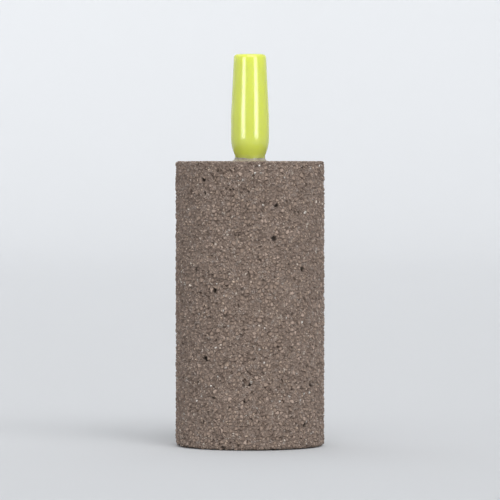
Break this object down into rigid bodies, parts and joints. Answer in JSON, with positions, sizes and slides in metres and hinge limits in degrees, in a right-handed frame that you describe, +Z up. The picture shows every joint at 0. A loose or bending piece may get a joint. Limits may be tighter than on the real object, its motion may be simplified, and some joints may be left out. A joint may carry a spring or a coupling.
{
  "type": "air stone",
  "caption": "Porous grit cylinder with a push-on hose nozzle glued into its top; splits pumped air into fine bubbles in an aquarium or pond.",
  "frame": {"origin": "centre of the stone's flat base, which the part stands on", "axes": "+Z up the stone's axis and out through the nozzle; X and Y are free, because the part is round"},
  "size_m": [0.021, 0.021, 0.055],
  "materials": {
    "stone_grit": "matte",
    "nozzle_plastic": "gloss",
    "adhesive": "satin"
  },
  "bodies": {
    "root": {"stone_body": "stone_grit", "nozzle": "nozzle_plastic", "adhesive_seal": "adhesive"}
  },
  "joints": []
}
